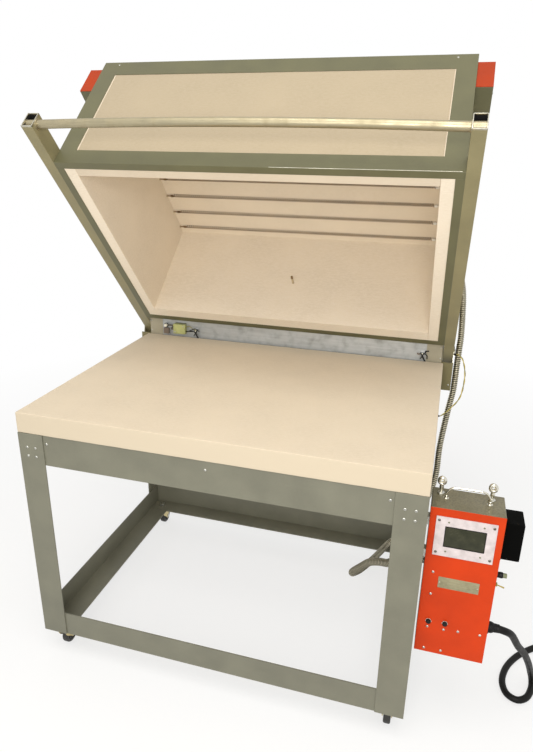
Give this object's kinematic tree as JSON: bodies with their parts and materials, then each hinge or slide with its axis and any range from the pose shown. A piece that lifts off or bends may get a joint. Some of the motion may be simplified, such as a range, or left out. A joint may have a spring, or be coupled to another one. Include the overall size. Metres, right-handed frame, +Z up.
{
  "type": "lift-hood bench oven",
  "caption": "Electric bench oven with a lift-up insulated hood over a flat board bed, on a castered steel stand with a side control case.",
  "frame": {"origin": "on the floor, under the middle of the whole oven with its hood open", "axes": "+Z up, -Y towards the operator at the front, +X towards the control case"},
  "size_m": [1.9935, 1.206, 1.8941],
  "materials": {
    "frame_paint": "satin grey enamel",
    "board": "matte fibrous insulating board",
    "zinc": "zinc plated",
    "chrome": "bright",
    "steel_plate": "rolled steel",
    "arm_paint": "satin olive grey",
    "bar_metal": "satin drawn tube",
    "switch_plastic": "matte yellow green",
    "dark_clip": "matte",
    "hammer_paint": "hammered grey",
    "orange_paint": "semi-gloss orange",
    "bezel_plastic": "matte off-white",
    "display": "dark green grey, unlit",
    "plate_metal": "matte, blank",
    "black_plastic": "matte black",
    "brass": "worn",
    "conduit_metal": "corrugated",
    "lead_sleeve": "woven sleeve",
    "cord_rubber": "matte",
    "element_wire": "oxidised",
    "ceramic_sheath": "matte",
    "fork_metal": "yellow zinc",
    "wheel_rubber": "hard rubber"
  },
  "bodies": {
    "stand": {"front_legs": "frame_paint", "rear_legs": "frame_paint", "top_front_rail": "frame_paint", "top_rear_rail": "frame_paint", "top_side_rails": "frame_paint", "low_front_rail": "frame_paint", "low_rear_rail": "frame_paint", "low_side_rails": "frame_paint", "frame_screws": "zinc", "bed_main_board": "board", "bed_side_board": "board", "bed_bearers": "frame_paint", "rear_plate": "steel_plate", "pivot_brackets": "arm_paint", "pivot_pins": "zinc", "limit_switch": "switch_plastic", "lead_clips": "dark_clip", "control_case": "hammer_paint", "control_front": "orange_paint", "display_bezel": "bezel_plastic", "display_glass": "display", "nameplate": "plate_metal", "panel_screws": "zinc", "fuse_caps": "black_plastic", "case_handle": "chrome", "hanger_eyes": "chrome", "side_box": "black_plastic", "side_socket": "black_plastic", "toggle_switch": "brass", "cord_gland": "black_plastic", "stand_conduit": "conduit_metal", "case_connector": "zinc", "sensor_lead": "lead_sleeve", "power_cord": "cord_rubber", "cord_coil": "cord_rubber", "power_plug": "black_plastic"},
    "hood": {"hood_conduit": "conduit_metal", "hood_connector": "zinc", "hood_front_frame": "frame_paint", "hood_rear_frame": "frame_paint", "hood_side_frames": "frame_paint", "hood_roof_frame": "frame_paint", "front_board": "board", "rear_board": "board", "side_boards": "board", "roof_board": "board", "element_rows": "element_wire", "thermocouple": "ceramic_sheath", "terminal_covers": "orange_paint", "lift_arms": "arm_paint", "handle_bar": "bar_metal"},
    "toggle": {"toggle_lever": "brass"},
    "swivel_fl": {"caster_fork_fl": "fork_metal"},
    "wheel_fl": {"caster_wheel_fl": "wheel_rubber"},
    "swivel_fr": {"caster_fork_fr": "fork_metal"},
    "wheel_fr": {"caster_wheel_fr": "wheel_rubber"},
    "swivel_rl": {"caster_fork_rl": "fork_metal"},
    "wheel_rl": {"caster_wheel_rl": "wheel_rubber"},
    "swivel_rr": {"caster_fork_rr": "fork_metal"},
    "wheel_rr": {"caster_wheel_rr": "wheel_rubber"}
  },
  "joints": [
    {"name": "hood_hinge", "type": "hinge", "parent": "stand", "child": "hood", "pos_m": [-0.1, 0.3227, 0.925], "axis": [-1, 0, 0], "range_deg": [-49, 0]},
    {"name": "swivel_fl", "type": "hinge", "parent": "stand", "child": "swivel_fl", "pos_m": [-0.653, -0.5543, 0.08], "axis": [0, 0, 1], "continuous": true},
    {"name": "wheel_spin_fl", "type": "hinge", "parent": "swivel_fl", "child": "wheel_fl", "pos_m": [-0.653, -0.5363, 0.031], "axis": [1, 0, 0], "continuous": true},
    {"name": "swivel_fr", "type": "hinge", "parent": "stand", "child": "swivel_fr", "pos_m": [0.453, -0.5543, 0.08], "axis": [0, 0, 1], "continuous": true},
    {"name": "wheel_spin_fr", "type": "hinge", "parent": "swivel_fr", "child": "wheel_fr", "pos_m": [0.453, -0.5363, 0.031], "axis": [1, 0, 0], "continuous": true},
    {"name": "swivel_rl", "type": "hinge", "parent": "stand", "child": "swivel_rl", "pos_m": [-0.653, 0.2167, 0.08], "axis": [0, 0, 1], "continuous": true},
    {"name": "wheel_spin_rl", "type": "hinge", "parent": "swivel_rl", "child": "wheel_rl", "pos_m": [-0.653, 0.2347, 0.031], "axis": [1, 0, 0], "continuous": true},
    {"name": "swivel_rr", "type": "hinge", "parent": "stand", "child": "swivel_rr", "pos_m": [0.453, 0.2167, 0.08], "axis": [0, 0, 1], "continuous": true},
    {"name": "wheel_spin_rr", "type": "hinge", "parent": "swivel_rr", "child": "wheel_rr", "pos_m": [0.453, 0.2347, 0.031], "axis": [1, 0, 0], "continuous": true},
    {"name": "toggle_rock", "type": "hinge", "parent": "stand", "child": "toggle", "pos_m": [0.696, -0.5113, 0.547], "axis": [0, 1, 0], "range_deg": [-34, 0]}
  ]
}
